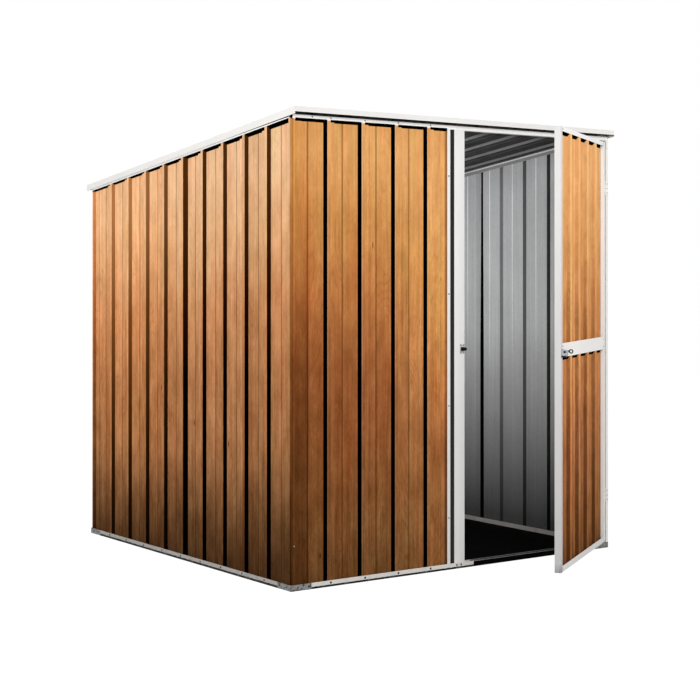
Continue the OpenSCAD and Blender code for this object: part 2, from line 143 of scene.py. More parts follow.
class Look:
    def __init__(self, name):
        self.material = bpy.data.materials.new(name)
        self.material.use_nodes = True
        self.nodes = self.material.node_tree.nodes
        self.links = self.material.node_tree.links
        self.nodes.clear()
        self.surface = self.add("ShaderNodeBsdfPrincipled")
        output = self.add("ShaderNodeOutputMaterial")
        self.links.new(self.surface.outputs[0], output.inputs[0])
        self.coord = self.add("ShaderNodeTexCoord")

    def add(self, kind, *values, **settings):
        node = self.nodes.new(kind)
        for setting, value in settings.items():
            setattr(node, setting, value)
        for socket, value in zip(node.inputs, values):
            self.give(socket, value)
        return node

    def give(self, socket, value):
        if isinstance(value, bpy.types.NodeSocket):
            self.links.new(value, socket)
        elif value is not None:
            socket.default_value = value

    def calc(self, operation, a, b=None, c=None):
        return self.add("ShaderNodeMath", a, b, c, operation=operation).outputs[0]

    def times(self, value, factor):
        return self.calc("MULTIPLY", value, factor)

    def span(self, value, low, high, toLow=0.0, toHigh=1.0):
        return self.add("ShaderNodeMapRange", value, low, high, toLow, toHigh).outputs[0]

    def parts(self, vector):                # its three coordinates
        return self.add("ShaderNodeSeparateXYZ", vector).outputs

    def grey(self, level):                  # a colour that is the same in each channel
        return self.add("ShaderNodeCombineColor", level, level, level).outputs[0]

    def pick(self, share, a, b):            # a plain number between two others
        node = self.add("ShaderNodeMix", data_type="FLOAT")
        for index, value in ((0, share), (2, a), (3, b)):
            self.give(node.inputs[index], value)
        return node.outputs[0]

    def tone(self, share, a, b, how="MIX"):
        node = self.add("ShaderNodeMix", data_type="RGBA", blend_type=how)
        for index, value in ((0, share), (6, a), (7, b)):
            self.give(node.inputs[index], value)
        return node.outputs[2]

    def ramp(self, value, stops, tallest):
        node = self.add("ShaderNodeValToRGB")
        marks = node.color_ramp.elements
        marks[0].position = stops[0][0] / tallest
        marks[0].color = screenTone(*stops[0][1])
        marks[1].position = stops[-1][0] / tallest
        marks[1].color = screenTone(*stops[-1][1])
        for height, shade in stops[1:-1]:
            marks.new(height / tallest).color = screenTone(*shade)
        self.give(node.inputs[0], self.calc("DIVIDE", value, tallest))
        return node.outputs[0]

    def noise(self, x, y, z, detail=2.0, roughness=0.5):
        place = self.add("ShaderNodeCombineXYZ", x, y, z).outputs[0]
        node = self.add("ShaderNodeTexNoise")
        self.give(node.inputs["Vector"], place)
        node.inputs["Scale"].default_value = 1
        node.inputs["Detail"].default_value = detail
        node.inputs["Roughness"].default_value = roughness
        return node.outputs[0]

    def bump(self, height, distance, strength=1.0):
        node = self.add("ShaderNodeBump")
        node.inputs["Strength"].default_value = strength
        node.inputs["Distance"].default_value = distance
        self.give(node.inputs["Height"], height)
        self.links.new(node.outputs[0], self.surface.inputs["Normal"])

    def finish(self, color, roughness, metallic=0.0, specular=0.5):
        self.give(self.surface.inputs["Base Color"], color)
        self.give(self.surface.inputs["Roughness"], roughness)
        self.surface.inputs["Metallic"].default_value = metallic
        self.surface.inputs["Specular IOR Level"].default_value = specular
        return self.material


woodTones = {
    "tallest": 1900.0,
    # tones by height for the front, the sides and the door, darker towards the bottom and different
    # on each: partly the print's own tone, partly painted light and shade
    "front": [(60, (112, 74, 41)), (244, (125, 82, 46)), (560, (138, 84, 46)),
              (877, (152, 91, 50)), (1193, (186, 119, 67)), (1509, (206, 144, 81)),
              (1746, (225, 164, 101))],
    "side": [(60, (79, 52, 30)), (244, (99, 66, 39)), (560, (164, 112, 72)),
             (877, (178, 121, 78)), (1193, (203, 142, 96)), (1509, (226, 174, 127)),
             (1746, (233, 186, 143))],
    "door": [(60, (124, 80, 46)), (200, (150, 98, 58)), (500, (178, 114, 71)),
             (800, (206, 137, 84)), (1100, (218, 152, 94)), (1400, (233, 170, 107)),
             (1746, (245, 184, 121))],
    "nearEdge": [(60, (3, 1, 0)), (877, (3, 1, 0)), (1193, (34, 10, 1)), (1509, (56, 29, 8)),
                 (1746, (72, 38, 12))],         # the ribs' flanks along a side, near end
    "farEdge": [(60, (18, 9, 1)), (244, (27, 13, 2)), (560, (48, 24, 4)), (877, (84, 48, 16)),
                (1193, (118, 70, 30)), (1509, (158, 106, 60)), (1746, (176, 120, 72))],
    "black": (2, 1, 0),
    "brown": (60, 30, 8),
    "grain": {"strips": 55, "lines": 230, "warm": 34, "hairs": 170, "patch": 15,
              "fleck": 160},                    # how often each turns in a metre
    "rings": 75,                # how close the growth rings lie
    "knots": {"across": 11, "up": 3.2, "rare": 0.72, "dark": 0.45},
    "contrast": (1.9, 0.75),    # of the grain, near the ground and under the roof
    "reddish": (1.05, 0.92, 0.87, 1),           # tints of the warm and the olive streaks
    "olive": (0.98, 1.07, 0.98, 1),
    "creaseShade": 0.5,
    "flankFade": (0.8, 0.28),   # how dark the door's flanks are, low down and high up
    "ribPitch": 0.1713,
    "doorPitch": 0.06,
    "crease": 0.067,            # from a rib to the crease that follows it
    "drift": 110.0,             # how far the shading by height wanders, in mm
    "byDoorway": 400.0,         # and how much higher it reads beside the doorway
    "byBack": 165.0,            # and at the back end of a side
    "cornerWidth": 0.095,       # the front corner strip is painted darker and redder, as painted shadow beside the corner
    "cornerBend": 0.027,        # how far the corner sheets' bends reach
    "cornerTint": (0.98, 0.88, 0.78, 1),
    "bevelTint": (0.64, 0.56, 0.46, 1),         # the corner's own bend, darker again
    "lip": (-0.0187, 0.0020),   # dark line on a crest: its middle from the rib, half width
    "rim": (-0.0142, 0.0025),   # painted highlight beside it
    "rimHighlightTone": (238, 214, 196),
    "crestTint": (1.16, 1.2, 1.24, 1),          # the door's crests are paler
    "jambTint": (1.12, 1.12, 1.12, 1),          # so is the wall beside the jamb strip
    # lower ends of two pans by the doorway are yellower: middle, half width, heights, tint
    "yellower": [(-0.257, 0.0855, 1.6, 0.6, (1.17, 1.38, 1.5, 1)),
                 (-0.126, 0.0456, 0.75, 0.3, (1.06, 1.3, 1.36, 1))],
    "farther": (1.14, 1.08, 1.0, 1),        # tint of a side's back half
    "railShadow": {"front": 0.006, "side": 0.015, "sideBack": 0.009,
                  "door": (0.0115, 0.0145)},    # depth of the painted shadow under each rail
    "railDrop": {"front": 0.041, "side": 0.036},        # from the roof to that painted shadow
}
roofLine = {"front": cadBox[1].z, "from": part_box("fascia_front")[0].y,
            "slope": (cadBox[1].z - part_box("fascia_back")[1].z)
            / (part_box("fascia_back")[1].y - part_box("fascia_front")[0].y)}
zincTones = {
    # the zinc inside by height, darker towards the bottom as painted shade
    "inside": [(60, (84, 84, 84)), (200, (114, 114, 114)), (400, (148, 148, 148)),
               (700, (182, 182, 182)), (1000, (208, 209, 209)), (1600, (212, 213, 214))],
    "lap": (6, 6, 6),           # the dark line where two sheets of a side lap
    "lapMiddle": 0.006,
    "lapHalf": (0.0135, 0.008),         # its half width low down and high up
    "underRibHighlight": 3.2,           # below, the roof's rib edges get a painted highlight, lighter by this factor
    "underEaveShade": (3, 3, 3),     # and its front end is nearly black, as painted shade
}


def galvanised(look, x, y, z, tones):
    cells = look.add("ShaderNodeTexVoronoi", feature="F1")
    look.give(cells.inputs["Vector"], look.coord.outputs["Object"])
    cells.inputs["Scale"].default_value = 95
    cells.inputs["Randomness"].default_value = 1
    spangle = look.add("ShaderNodeSeparateColor")
    look.give(spangle.inputs[0], cells.outputs["Color"])
    streak = look.noise(look.times(x, 60), look.times(y, 60), look.times(z, 1.2), 3)
    cloud = look.noise(look.times(x, 3), look.times(y, 3), look.times(z, 3), 3)
    level = look.calc("ADD", look.span(spangle.outputs[0], 0, 1, -0.03, 0.03),
                      look.span(streak, 0.3, 0.7, -0.06, 0.06))
    level = look.calc("ADD", level, look.span(cloud, 0.3, 0.7, 0.93, 1.03))
    return look.tone(1, tones, look.grey(level), "MULTIPLY")


def woodPrint(name, door=None):
    look = Look(name)
    place, facing = look.coord.outputs["Object"], look.coord.outputs["Normal"]
    if door:                    # the door's pieces are read as if it were shut
        angle, pivot = -math.radians(door["angle"]), Vector(door["pivot"])
        moved = pivot.copy()
        moved.x = pivot.x - (pivot.x * math.cos(angle) - pivot.y * math.sin(angle))
        moved.y = pivot.y - (pivot.x * math.sin(angle) + pivot.y * math.cos(angle))
        place = look.add("ShaderNodeMapping", place, (moved.x, moved.y, 0), (0, 0, angle),
                         vector_type="POINT").outputs[0]
        facing = look.add("ShaderNodeMapping", facing, None, (0, 0, angle),
                          vector_type="VECTOR").outputs[0]
    x, y, z = look.parts(place)
    wayX, wayY = look.parts(facing)[:2]
    signX, signY = look.calc("SIGN", x), look.calc("SIGN", y)
    sizeX, sizeY = look.calc("ABSOLUTE", x), look.calc("ABSOLUTE", y)
    beyond = look.calc("SUBTRACT", look.calc("SUBTRACT", sizeY, sizeX),
                       wallHalf["y"] - wallHalf["x"])
    if door:
        front = 1.0
        outward = look.times(wayY, -1)
        sideways = look.calc("ABSOLUTE", wayX)
        along = x
        depth = look.calc("SUBTRACT", look.times(y, -1), wallHalf["y"])
    else:
        front = look.calc("GREATER_THAN", beyond, 0)
        outward = look.pick(front, look.calc("MULTIPLY", wayX, signX),
                            look.calc("MULTIPLY", wayY, signY))
        sideways = look.calc("ABSOLUTE", look.pick(front, wayY, wayX))
        along = look.pick(front, look.calc("ADD", y, look.times(signX, 7)),
                          look.calc("ADD", x, look.times(signY, 3)))
        depth = look.pick(front, look.calc("SUBTRACT", sizeX, wallHalf["x"]),
                          look.calc("SUBTRACT", sizeY, wallHalf["y"]))
    across = x if door else look.pick(front, look.calc("MULTIPLY", y, look.times(signX, -1)), x)
    pitch = woodTones["doorPitch" if door else "ribPitch"]
    fromRib = look.calc("WRAP", across, pitch, 0.0)
    board = look.calc("ADD", look.times(look.calc("FLOOR", look.calc("DIVIDE", across, pitch)), 2),
                      look.calc("GREATER_THAN", fromRib, woodTones["crease"]))
    board = look.calc("ADD", board, look.times(front, 40))
    wander = look.noise(look.times(along, 7), 11.0, look.times(z, 1.3), 2)
    height = look.calc("ADD", look.times(z, 1000),
                       look.span(wander, 0.3, 0.7, -woodTones["drift"] / 2,
                                 woodTones["drift"] / 2))
    tallest = woodTones["tallest"]
    if door:
        wood = look.ramp(height, woodTones["door"], tallest)
    else:
        nearDoor = look.calc("MULTIPLY", look.span(x, -0.45, -0.12, 0, woodTones["byDoorway"]),
                             look.span(z, 1.9, 1.0))
        nearBack = look.span(y, -0.7, 0.75, 0, woodTones["byBack"])
        height = look.calc("ADD", height, look.pick(front, nearBack, nearDoor))
        wood = look.tone(front, look.ramp(height, woodTones["side"], tallest),
                         look.ramp(height, woodTones["front"], tallest))
        lowFade = look.calc("MULTIPLY", look.calc("MULTIPLY", front, look.calc("LESS_THAN", y, 0)),
                            look.span(z, 0.06, 0.24, 0.3, 1.0))
        for middle, reach, top, full, tint in woodTones["yellower"]:
            share = look.calc("MULTIPLY", look.calc("COMPARE", x, middle, reach),
                              look.span(z, top, full))
            wood = look.tone(look.calc("MULTIPLY", share, lowFade), wood,
                             look.tone(1, wood, tint, "MULTIPLY"))
        farther = look.calc("MULTIPLY", look.span(y, -0.1, 0.3), look.span(z, 0.25, 0.5))
        farther = look.calc("MULTIPLY", farther, look.calc("SUBTRACT", 1.0, front))
        wood = look.tone(farther, wood, look.tone(1, wood, woodTones["farther"], "MULTIPLY"))

    # grain: boards, wavy strips and lines, growth rings, mottling, a few knots
    bend = look.noise(look.times(along, 6), board, look.times(z, 1.7), 2)
    grain = look.calc("ADD", along, look.span(bend, 0.3, 0.7, -0.006, 0.006))
    plank = look.noise(look.times(board, 3.7), 0.5, 0.5, 0)
    often = woodTones["grain"]
    strips = look.noise(look.times(grain, often["strips"]), board, look.times(z, 0.7), 1)
    lines = look.noise(look.times(grain, often["lines"]), 4.0, look.times(z, 3.0), 3, 0.6)
    warm = look.noise(look.times(grain, often["warm"]), board, look.times(z, 1.3), 3)
    hairs = look.noise(look.times(grain, often["hairs"]), 8.0, look.times(z, 2.2), 2)
    patch = look.noise(look.times(along, often["patch"]), board, look.times(z, 7), 4, 0.6)
    fleck = look.noise(look.times(along, often["fleck"]), 3.0, look.times(z, 45), 3, 0.7)
    ringSource = look.noise(look.times(along, 7), look.times(board, 5), look.times(z, 1.5), 1)
    ring = look.calc("ABSOLUTE", look.calc("SINE", look.times(ringSource, woodTones["rings"])))
    ringed = look.span(look.noise(look.times(along, 9), board, look.times(z, 1.9), 1), 0.49, 0.58)
    ring = look.pick(ringed, 1.0, look.span(ring, 0.0, 0.55, 0.88, 1.02))
    level = look.calc("MULTIPLY", look.span(strips, 0.3, 0.7, 0.9, 1.1),
                      look.span(lines, 0.25, 0.75, 0.87, 1.13))
    for value, low, high in ((plank, 0.92, 1.08), (patch, 0.82, 1.18), (fleck, 0.9, 1.1)):
        level = look.calc("MULTIPLY", level, look.span(value, 0.3, 0.7, low, high))
    level = look.calc("MULTIPLY", level, look.span(hairs, 0.62, 0.72, 1.0, 0.8))
    level = look.calc("MULTIPLY", level, ring)
    knots = woodTones["knots"]
    cells = look.add("ShaderNodeTexVoronoi", feature="F1")
    look.give(cells.inputs["Vector"], look.add(
        "ShaderNodeCombineXYZ", look.times(grain, knots["across"]), board,
        look.times(z, knots["up"])).outputs[0])
    cells.inputs["Scale"].default_value = 1
    chosen = look.add("ShaderNodeSeparateColor", cells.outputs["Color"])
    knot = look.calc("MULTIPLY", look.span(cells.outputs["Distance"], 0.055, 0.025),
                     look.calc("GREATER_THAN", chosen.outputs[0], knots["rare"]))
    level = look.calc("MULTIPLY", level, look.span(knot, 0, 1, 1.0, knots["dark"]))
    level = look.calc("POWER", level, look.span(z, 0.2, 1.8, *woodTones["contrast"]))
    levelTone = look.add("ShaderNodeCombineColor", look.calc("POWER", level, 0.8), level,
                         look.calc("POWER", level, 1.25)).outputs[0]
    wood = look.tone(1, wood, levelTone, "MULTIPLY")
    reddish = look.tone(1, wood, woodTones["reddish"], "MULTIPLY")
    olive = look.tone(1, wood, woodTones["olive"], "MULTIPLY")
    wood = look.tone(look.span(warm, 0.5, 0.66), wood, reddish)
    wood = look.tone(look.span(warm, 0.46, 0.32), wood, olive)

    # painted shade on the crease sides; the flanks are painted dark
    black, brown = screenTone(*woodTones["black"]), screenTone(*woodTones["brown"])
    crease = look.calc("MULTIPLY", look.span(sideways, 0.2, 0.3),
                       look.span(sideways, 0.47, 0.42))
    flank = look.span(sideways, 0.47, 0.53)
    if door:
        flankShade = look.span(z, 0.3, 1.5, *woodTones["flankFade"])
        wood = look.tone(look.calc("MULTIPLY", flank, flankShade), wood, brown)
        crest = look.span(depth, -0.006, -0.004)
        pale = look.tone(1, wood, woodTones["crestTint"], "MULTIPLY")
        wood = look.tone(crest, wood, pale)
    else:
        faint = look.calc("MULTIPLY", front, look.calc("GREATER_THAN", x, -0.12))
        crease = look.calc("MULTIPLY", crease, look.span(faint, 0, 1, 1, 0.2))
        wood = look.tone(look.times(crease, woodTones["creaseShade"]), wood, brown)
        fromEdge = look.calc("SUBTRACT", wallHalf["x"], sizeX)
        inCorner = look.calc("MULTIPLY", look.calc("GREATER_THAN", depth, -0.03),
                             look.calc("LESS_THAN", look.pick(
                                 front, look.calc("SUBTRACT", wallHalf["y"], sizeY), fromEdge),
                                 woodTones["cornerBend"]))
        flank = look.calc("MULTIPLY", flank, look.calc("SUBTRACT", 1.0, inCorner))
        # painted shadow beside the front corner: darker and redder, more so lower down
        cornerShadowTone = look.tone(1, wood, woodTones["cornerTint"], "MULTIPLY")
        fade = look.span(z, 0.85, 1.55, 0.56, 0.93)
        cornerShadowTone = look.tone(1, cornerShadowTone, look.grey(fade), "MULTIPLY")
        atCorner = look.calc("MULTIPLY", front, look.span(
            fromEdge, woodTones["cornerWidth"] + 0.004, woodTones["cornerWidth"] - 0.004))
        atCorner = look.calc("MULTIPLY", atCorner, look.calc("LESS_THAN", y, 0))
        wood = look.tone(atCorner, wood, cornerShadowTone)
        sideEdge = look.tone(look.span(y, 0.02, 0.5),
                             look.ramp(height, woodTones["nearEdge"], tallest),
                             look.ramp(height, woodTones["farEdge"], tallest))
        wood = look.tone(flank, wood, look.tone(front, sideEdge, black))
        onFlat = look.calc("MULTIPLY", look.calc("GREATER_THAN", depth, -0.004),
                           look.calc("GREATER_THAN", fromEdge, woodTones["cornerWidth"]))
        fromCrest = look.calc("SUBTRACT", fromRib, pitch)
        lip = look.calc("COMPARE", fromCrest, *woodTones["lip"])
        lip = look.calc("MULTIPLY", look.calc("MULTIPLY", lip, onFlat), front)
        wood = look.tone(lip, wood, black)      # the dark of the flanks runs onto the crest's edge
        # painted highlight along the crest's edge, stronger higher up
        rim = look.calc("MULTIPLY", look.calc("COMPARE", fromCrest, *woodTones["rim"]), onFlat)
        rim = look.calc("MULTIPLY", rim, look.span(z, 0.5, 1.6, 0.1, 0.45))
        bevel = look.calc("MULTIPLY", look.calc("GREATER_THAN", sideways, 0.35), inCorner)
        wood = look.tone(bevel, wood, look.tone(1, cornerShadowTone, woodTones["bevelTint"], "MULTIPLY"))
        wood = look.tone(rim, wood, look.tone(0.5, wood, screenTone(*woodTones["rimHighlightTone"])))
        besideJamb = look.calc("MULTIPLY", front, look.span(x, -0.12, -0.095))
        besideJamb = look.calc("MULTIPLY", besideJamb, look.calc("LESS_THAN", x, -0.05))
        wood = look.tone(besideJamb, wood, look.tone(1, wood, woodTones["jambTint"], "MULTIPLY"))

    # painted shadow under each rail, on the pans only
    onPan = look.span(depth, -0.004, -0.013)
    if door:
        for edge, dark in zip(door["railEdges"], woodTones["railShadow"]["door"]):
            below = look.calc("SUBTRACT", edge, z)
            shadowBand = look.calc("MULTIPLY", look.calc("GREATER_THAN", below, -0.015),
                            look.calc("LESS_THAN", below, look.times(onPan, dark)))
            wood = look.tone(shadowBand, wood, black)
        # a dark line along the panel's end, by the hinge stile
        wood = look.tone(look.times(look.calc("GREATER_THAN", x, door["panelEnd"] - 0.003), 0.85),
                         wood, brown)
    else:
        drop = look.pick(front, woodTones["railDrop"]["side"], woodTones["railDrop"]["front"])
        roofTop = look.calc("SUBTRACT", roofLine["front"], look.times(
            look.calc("SUBTRACT", y, roofLine["from"]), roofLine["slope"]))
        below = look.calc("SUBTRACT", look.calc("SUBTRACT", roofTop, drop), z)
        railShadowDepths = woodTones["railShadow"]
        dark = look.pick(front, look.span(y, -0.7, 0.5, railShadowDepths["side"], railShadowDepths["sideBack"]),
                         railShadowDepths["front"])
        onCrest = look.calc("LESS_THAN", fromRib, 0.06)     # it takes in half of each crest
        covered = look.calc("MAXIMUM", onPan, onCrest)
        shadowBand = look.calc("LESS_THAN", below, look.calc("MULTIPLY", covered, dark))
        wood = look.tone(shadowBand, wood, black)

    # bare zinc inside, darker towards the bottom and in the ribs as painted shade, with painted
    # highlights along the creases
    inner = look.ramp(look.times(z, 1000), zincTones["inside"], tallest)
    inner = galvanised(look, x, y, z, inner)
    if not door:
        shade = look.calc("MAXIMUM", look.span(y, -0.53, -0.12, 0.05, 0.42),
                          look.span(y, -0.02, 0.0, 0, 0.8))
        inRib = look.tone(1, inner, look.grey(shade), "MULTIPLY")
        inner = look.tone(flank, inner, inRib)
        offLap = look.calc("ABSOLUTE", look.calc("SUBTRACT", y, zincTones["lapMiddle"]))
        lapHalf = look.span(z, 0.9, 1.7, *zincTones["lapHalf"])
        lap = look.calc("MULTIPLY", look.calc("GREATER_THAN", depth, -0.012),
                        look.calc("LESS_THAN", offLap, lapHalf))
        inner = look.tone(look.calc("MULTIPLY", lap, look.calc("SUBTRACT", 1.0, front)), inner,
                          screenTone(*zincTones["lap"]))
        gleam = look.span(z, 0.8, 1.5, 1.08, 1.5)
        shine = look.tone(1, inner, look.grey(gleam), "MULTIPLY")
        inner = look.tone(crease, inner, shine)
    color = look.tone(look.span(outward, -0.02, 0.02), inner, wood)
    look.bump(lines, 0.0003, 0.5)
    roughness = look.span(lines, 0.3, 0.7, 0.55, 0.65)
    return look.finish(color, roughness, specular=0.0)


wallPrint = woodPrint("woodPrintWall")
doorPrint = woodPrint("woodPrintDoor", {
    "angle": openAngle, "pivot": hinge["pos_m"],
    "panelEnd": hinge["pos_m"][0] - 0.0295,
    "railEdges": (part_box("door_top_rail")[0].z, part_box("door_mid_rail")[0].z)})
print("wood print made")


trimShades = {
    "recessWidth": 0.0195,      # beside the jamb strip
    # painted shade in the recess beside the jamb strip, dark to lighter
    "recess": ((5, 5, 5), (92, 92, 92)),
    "stripEdges": ((150, 142, 134), (12, 12, 12)),      # painted shade on the jamb strip's edges: by the wall, by the post
    "stripEdgeWidths": (0.0012, 0.0026),
    # painted shadow along the ground
    "groundLineShadow": (14, 13, 12),
    # painted shade at the stile's bottom end
    "stileFootShade": (92, 92, 92),
    "underVerge": (6, 6, 6),
    # painted shadow along the fascia's lower edge
    "underFascia": (0, 0, 0),
    "innerShade": (165, 166, 167),       # seen from inside, a rail is painted in shade apart from one light edge
    # painted shadow on the side top rails' outer faces, under the verge
    "overWall": (4, 4, 4),
    # painted shadow along the front top rail's lower edge, over the pans
    "railEdge": (5, 4, 4),
    "railEdgeHeight": 0.0042,
}
mattePaints = ("eave", "recess", "strip", "inner")      # no gloss where shade is painted


def paintedTrim(name, tone, bottomShade=1.0, footLine=0.0, shadow=None):
    look = Look(name)
    x, y, z = look.parts(look.coord.outputs["Object"])
    cloud = look.noise(look.times(x, 4), look.times(y, 4), look.times(z, 2), 3)
    rub = look.noise(look.times(x, 60), look.times(y, 60), look.times(z, 9), 3)
    level = look.calc("MULTIPLY", look.span(cloud, 0.3, 0.7, 0.975, 1.01),
                      look.span(rub, 0.3, 0.7, 0.985, 1.01))
    # painted shade, darker towards the bottom
    level = look.calc("MULTIPLY", level, look.span(z, 0.0, 1.5, bottomShade, 1.0))
    color = look.tone(1, screenTone(*tone), look.grey(level), "MULTIPLY")
    if footLine:                # painted shadow: a dark line along the ground
        ragged = look.span(rub, 0.3, 0.7, footLine - 0.001, footLine + 0.001)
        inLine = look.calc("LESS_THAN", z, ragged)
        color = look.tone(inLine, color, screenTone(*trimShades["groundLineShadow"]))
        stain = look.span(look.noise(look.times(x, 17), look.times(y, 17), 5.0, 3),
                          0.5, 0.72, 0.0, 0.35)
        color = look.tone(stain, color, screenTone(*[part * 0.72 for part in tone]))
    if shadow == "recess":      # painted shade on the post's sunk side beside the jamb strip
        recessWidth = trimShades["recessWidth"]
        inside = look.calc("LESS_THAN", x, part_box("jamb_strip")[1].x + recessWidth)
        fade = look.span(x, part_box("jamb_strip")[1].x + 0.004,
                         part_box("jamb_strip")[1].x + recessWidth)
        nearShade, farShade = trimShades["recess"]
        color = look.tone(inside, color, look.tone(fade, screenTone(*nearShade),
                                                   screenTone(*farShade)))
    elif shadow == "strip":     # painted shade on the jamb strip's two edges, which turn away
        low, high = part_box("jamb_strip")
        wallTone, postTone = trimShades["stripEdges"]
        byWall, byPost = trimShades["stripEdgeWidths"]
        color = look.tone(look.calc("GREATER_THAN", x, high.x - byPost), color,
                          screenTone(*postTone))
        color = look.tone(look.calc("LESS_THAN", x, low.x + byWall), color,
                          screenTone(*wallTone))
    elif shadow == "verge":     # its underside is in shade
        down = look.parts(look.coord.outputs["Normal"])[2]
        color = look.tone(look.calc("LESS_THAN", down, -0.7), color,
                          screenTone(*trimShades["underVerge"]))
    elif shadow == "foot":      # painted shade at the bottom end, in mottled patches
        shadedFoot = look.calc("MULTIPLY", look.span(z, 0.07, 0.032), look.span(rub, 0.4, 0.6, 0.25, 0.8))
        color = look.tone(shadedFoot, color, screenTone(*trimShades["stileFootShade"]))
    elif shadow == "eave":      # painted shadow on the fascia's lower edge, for the dark gap below it
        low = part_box("fascia_front")[0].z + 0.003
        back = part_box("fascia_back")
        eaveShadow = look.calc("MULTIPLY", look.calc("LESS_THAN", z, low), look.calc("LESS_THAN", y, 0))
        eaveShadow = look.calc("MAXIMUM", eaveShadow, look.calc("LESS_THAN", z, back[0].z + 0.002))
        color = look.tone(eaveShadow, color, screenTone(*trimShades["underFascia"]))
    elif shadow == "inner":     # painted shade: rails seen from inside are light along one edge only; painted shadow on the side top rails under the verge and along the front top rail's lower edge
        drop = look.calc("SUBTRACT", roofLine["front"], look.calc("ADD", z, look.times(
            look.calc("SUBTRACT", y, roofLine["from"]), roofLine["slope"])))
        way = look.parts(look.coord.outputs["Normal"])[0]
        wayOut = look.calc("MULTIPLY", way, look.calc("SIGN", x))
        inward = look.calc("LESS_THAN", wayOut, -0.5)
        low = look.calc("MULTIPLY", inward, look.calc("GREATER_THAN", drop, 0.022))
        color = look.tone(low, color, screenTone(*trimShades["innerShade"]))
        outside = look.calc("GREATER_THAN", wayOut, 0.5)
        shadowBand = look.calc("LESS_THAN", drop, look.span(y, -0.883, -0.35, 0.0325, 0.029))
        color = look.tone(look.calc("MULTIPLY", outside, shadowBand), color,
                          screenTone(*trimShades["overWall"]))
        fromRib = look.calc("WRAP", x, 0.0, -woodTones["ribPitch"])
        betweenRibs = look.calc("COMPARE", fromRib, -0.0095, 0.0085)
        overWall = look.calc("LESS_THAN", x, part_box("jamb_strip")[0].x)
        shaded = look.calc("MULTIPLY", overWall, look.calc("SUBTRACT", 1.0, betweenRibs))
        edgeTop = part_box("top_rail_front")[0].z + trimShades["railEdgeHeight"]
        edge = look.calc("LESS_THAN", z, edgeTop)
        edge = look.calc("MULTIPLY", look.calc("MULTIPLY", edge, look.calc("LESS_THAN", y, -0.8)),
                         shaded)
        edge = look.calc("MULTIPLY", edge, look.calc("GREATER_THAN", x, -0.869))
        color = look.tone(edge, color, screenTone(*trimShades["railEdge"]))
    look.bump(rub, 0.0002, 0.4)
    return look.finish(color, look.span(rub, 0.3, 0.7, 0.4, 0.5),
                       specular=0.0 if shadow in mattePaints else 0.1)


def zincSheet(name, light, metallic, under=None, blotch=None):
    look = Look(name)
    x, y, z = look.parts(look.coord.outputs["Object"])
    base = screenTone(*light)
    wayX, _, wayZ = look.parts(look.coord.outputs["Normal"])
    if under:                   # the lower side is painted in shade, darkest towards the eave, apart from painted highlights on the ribs' edges
        flank = look.span(look.calc("ABSOLUTE", wayX), 0.3, 0.5)
        below = look.tone(flank, screenTone(*under),
                          screenTone(*[part * zincTones["underRibHighlight"] for part in under]))
        toEave = look.span(y, -0.87, -0.62)
        below = look.tone(toEave, screenTone(*zincTones["underEaveShade"]), below)
        base = look.tone(look.span(wayZ, -0.05, 0.05), below, base)
    if blotch:                  # scuffed and weathered feet
        patch = look.noise(look.times(x, 70), look.times(y, 70), look.times(z, 130), 4, 0.65)
        base = look.tone(look.span(patch, 0.5, 0.62), base, screenTone(*blotch))
    color = galvanised(look, x, y, z, base)
    cloud = look.noise(look.times(x, 9), look.times(y, 9), look.times(z, 9), 3)
    look.bump(cloud, 0.0004, 0.3)
    made = look.finish(color, look.span(cloud, 0.3, 0.7, 0.34, 0.5), metallic,
                       0.03 if under else 0.5)
    if under:
        look.give(look.surface.inputs["Metallic"],
                  look.span(wayZ, -0.05, 0.05, 0, metallic))
    return made


rubbedEdge = (150, 150, 150)    # the sill's top edge


def darkPaint(name, tone, edge=None):
    look = Look(name)
    x, y, z = look.parts(look.coord.outputs["Object"])
    streak = look.noise(look.times(x, 9), look.times(y, 160), look.times(z, 90), 3)
    level = look.span(streak, 0.3, 0.75, 0.6, 1.7)
    color = look.tone(1, screenTone(*tone), look.grey(level), "MULTIPLY")
    if edge:                    # rubbed bright along the top edge
        color = look.tone(look.calc("GREATER_THAN", z, edge), color,
                          screenTone(*rubbedEdge))
    look.bump(streak, 0.0003, 0.3)
    return look.finish(color, look.span(streak, 0.3, 0.7, 0.6, 0.75), specular=0.02)


def castMetal(name, tone, roughness, metallic, scale=90, plate=None, footTone=None):
    look = Look(name)
    x, y, z = look.parts(look.coord.outputs["Object"])
    cloud = look.noise(look.times(x, scale), look.times(y, scale), look.times(z, scale), 3)
    level = look.span(cloud, 0.3, 0.7, 0.85, 1.12)
    base = screenTone(*tone)
    if plate:                   # the backplate is paler than what stands on it
        low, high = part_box(plate[0])
        away = look.calc("ABSOLUTE", look.calc("SUBTRACT", z, (low.z + high.z) / 2))
        tip = look.calc("GREATER_THAN", away, look.span(x, low.x + 0.008, high.x, 0.013, 0.002))
        pale = look.calc("MAXIMUM", look.calc("GREATER_THAN", y, high.y - 0.0018), tip)
        base = look.tone(pale, base, screenTone(*plate[1]))
    if footTone:                # what turns down is in shade
        base = look.tone(look.calc("LESS_THAN", z, footTone[0]), base, screenTone(*footTone[1]))
    color = look.tone(1, base, look.grey(level), "MULTIPLY")
    look.bump(cloud, 0.0002, 0.3)
    return look.finish(color, look.span(cloud, 0.3, 0.7, roughness, roughness + 0.12),
                       metallic, 0.2)


